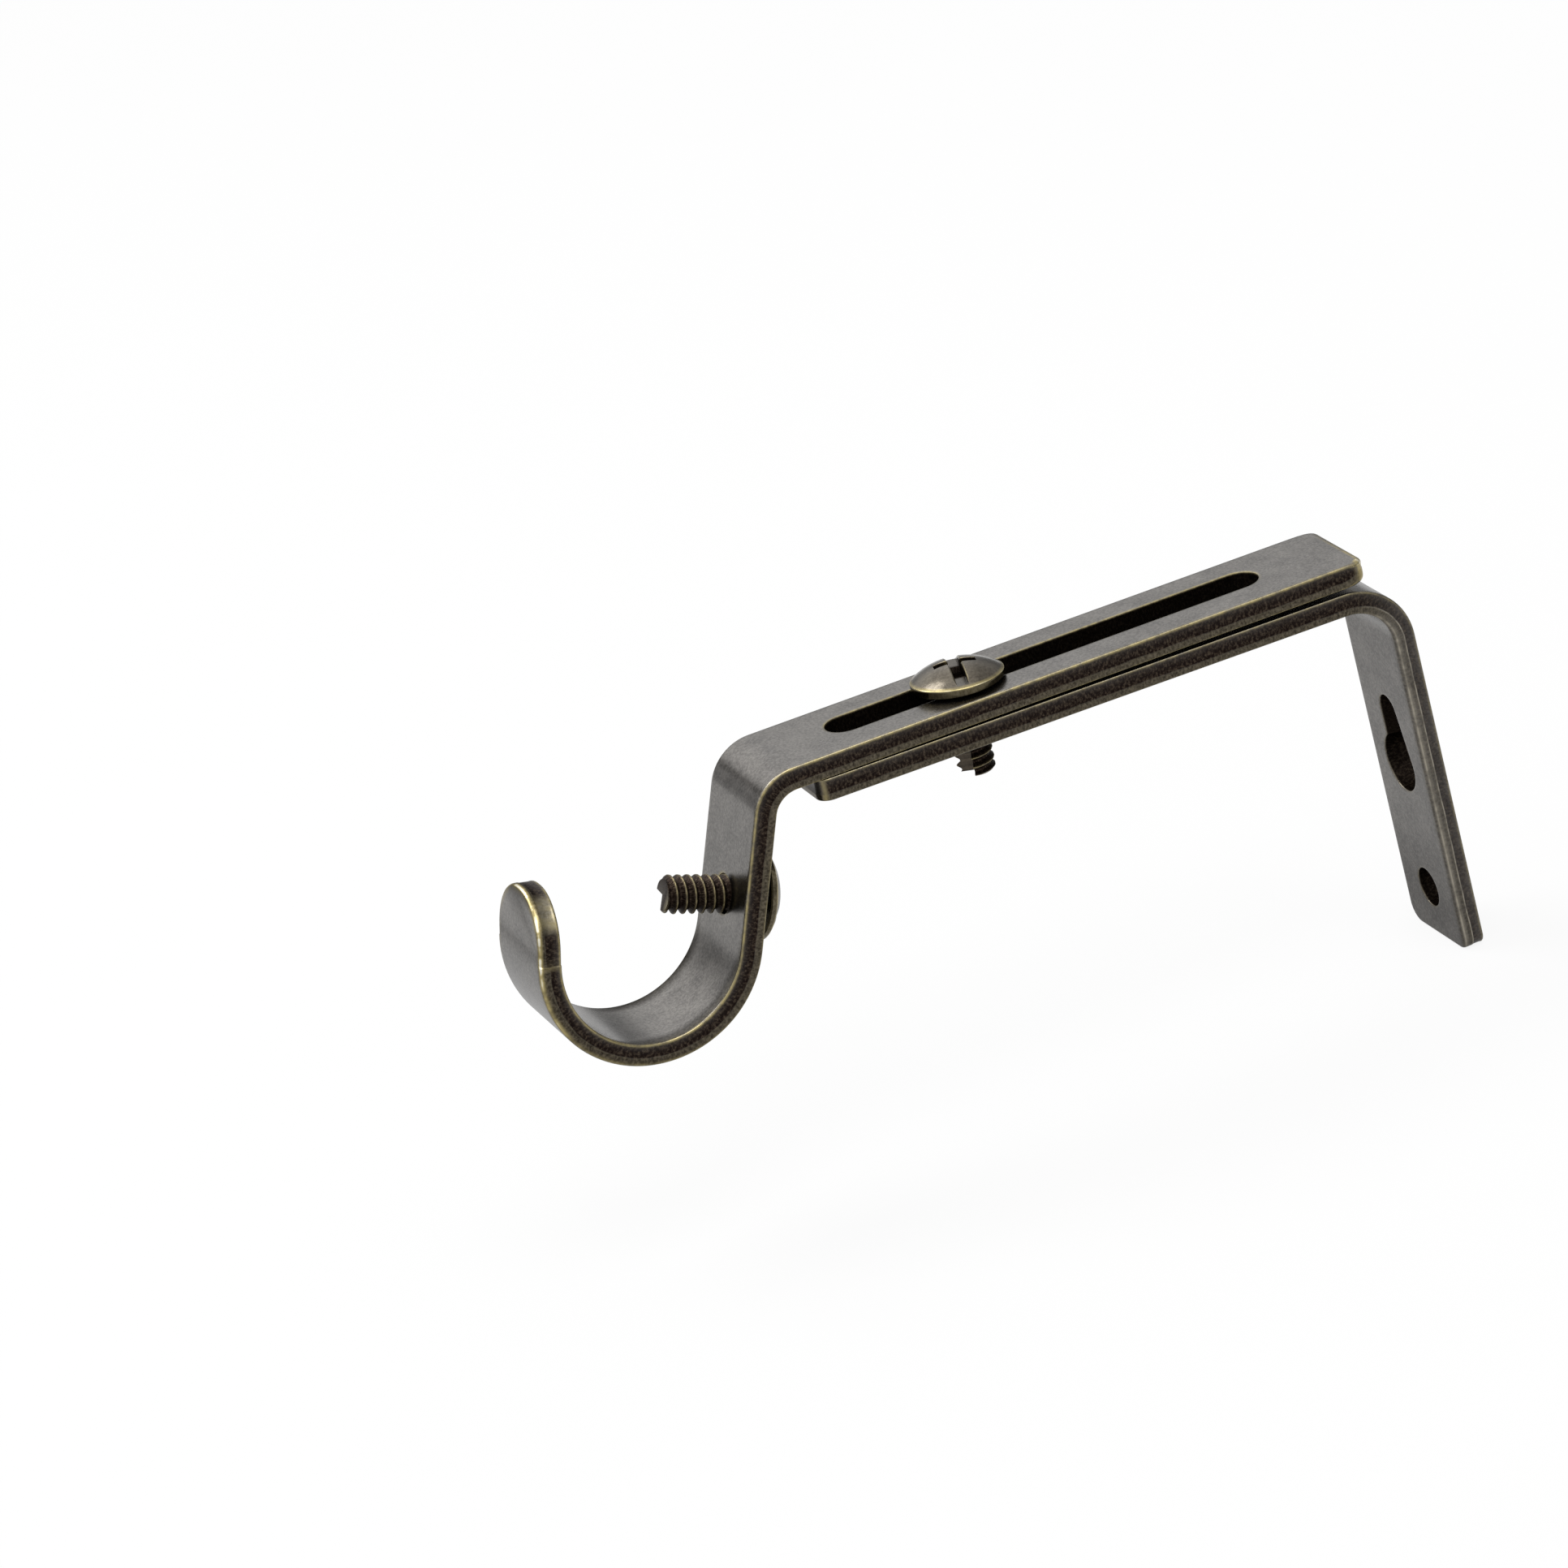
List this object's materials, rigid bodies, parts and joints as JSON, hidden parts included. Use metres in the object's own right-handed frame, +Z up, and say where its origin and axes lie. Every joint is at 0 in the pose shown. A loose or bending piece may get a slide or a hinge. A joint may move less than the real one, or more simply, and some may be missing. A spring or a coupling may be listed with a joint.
{
  "type": "curtain pole bracket",
  "caption": "Adjustable curtain pole bracket of bent steel strip: a slotted arm with an upturned hook slides on an angled wall bar, with a clamp screw and a pole screw.",
  "frame": {"origin": "centre of the lower screw hole in the wall leg, on the face that lies on the wall", "axes": "+Z up the wall, -Y out into the room along the arm, +X across the strip's width"},
  "size_m": [0.0126, 0.1039, 0.0517],
  "materials": {
    "strip_plating": "antique brass plating on steel strip, satin, dark on the sheared sides, rubbed bright along the edges",
    "screw_plating": "antique brass plating on steel screws, half polished, rubbed bright at the rim and crests"
  },
  "bodies": {
    "wall_bar": {"wall_bar": "strip_plating"},
    "hook_arm": {"hook_arm": "strip_plating"},
    "arm_screw": {"arm_screw": "screw_plating"},
    "pole_screw": {"pole_screw": "screw_plating"}
  },
  "joints": [
    {"name": "arm_slide", "type": "slide", "parent": "wall_bar", "child": "hook_arm", "axis": [0, -0.9996, 0.0279], "range_m": [-0.0023, 0.0328]},
    {"name": "arm_screw_travel", "type": "slide", "parent": "wall_bar", "child": "arm_screw", "axis": [0, 0.0358, 0.9994], "range_m": [-0.0002, 0.0045]},
    {"name": "pole_screw_travel", "type": "slide", "parent": "hook_arm", "child": "pole_screw", "axis": [0, 0.933, -0.36], "range_m": [-0.0009, 0.0066]}
  ]
}
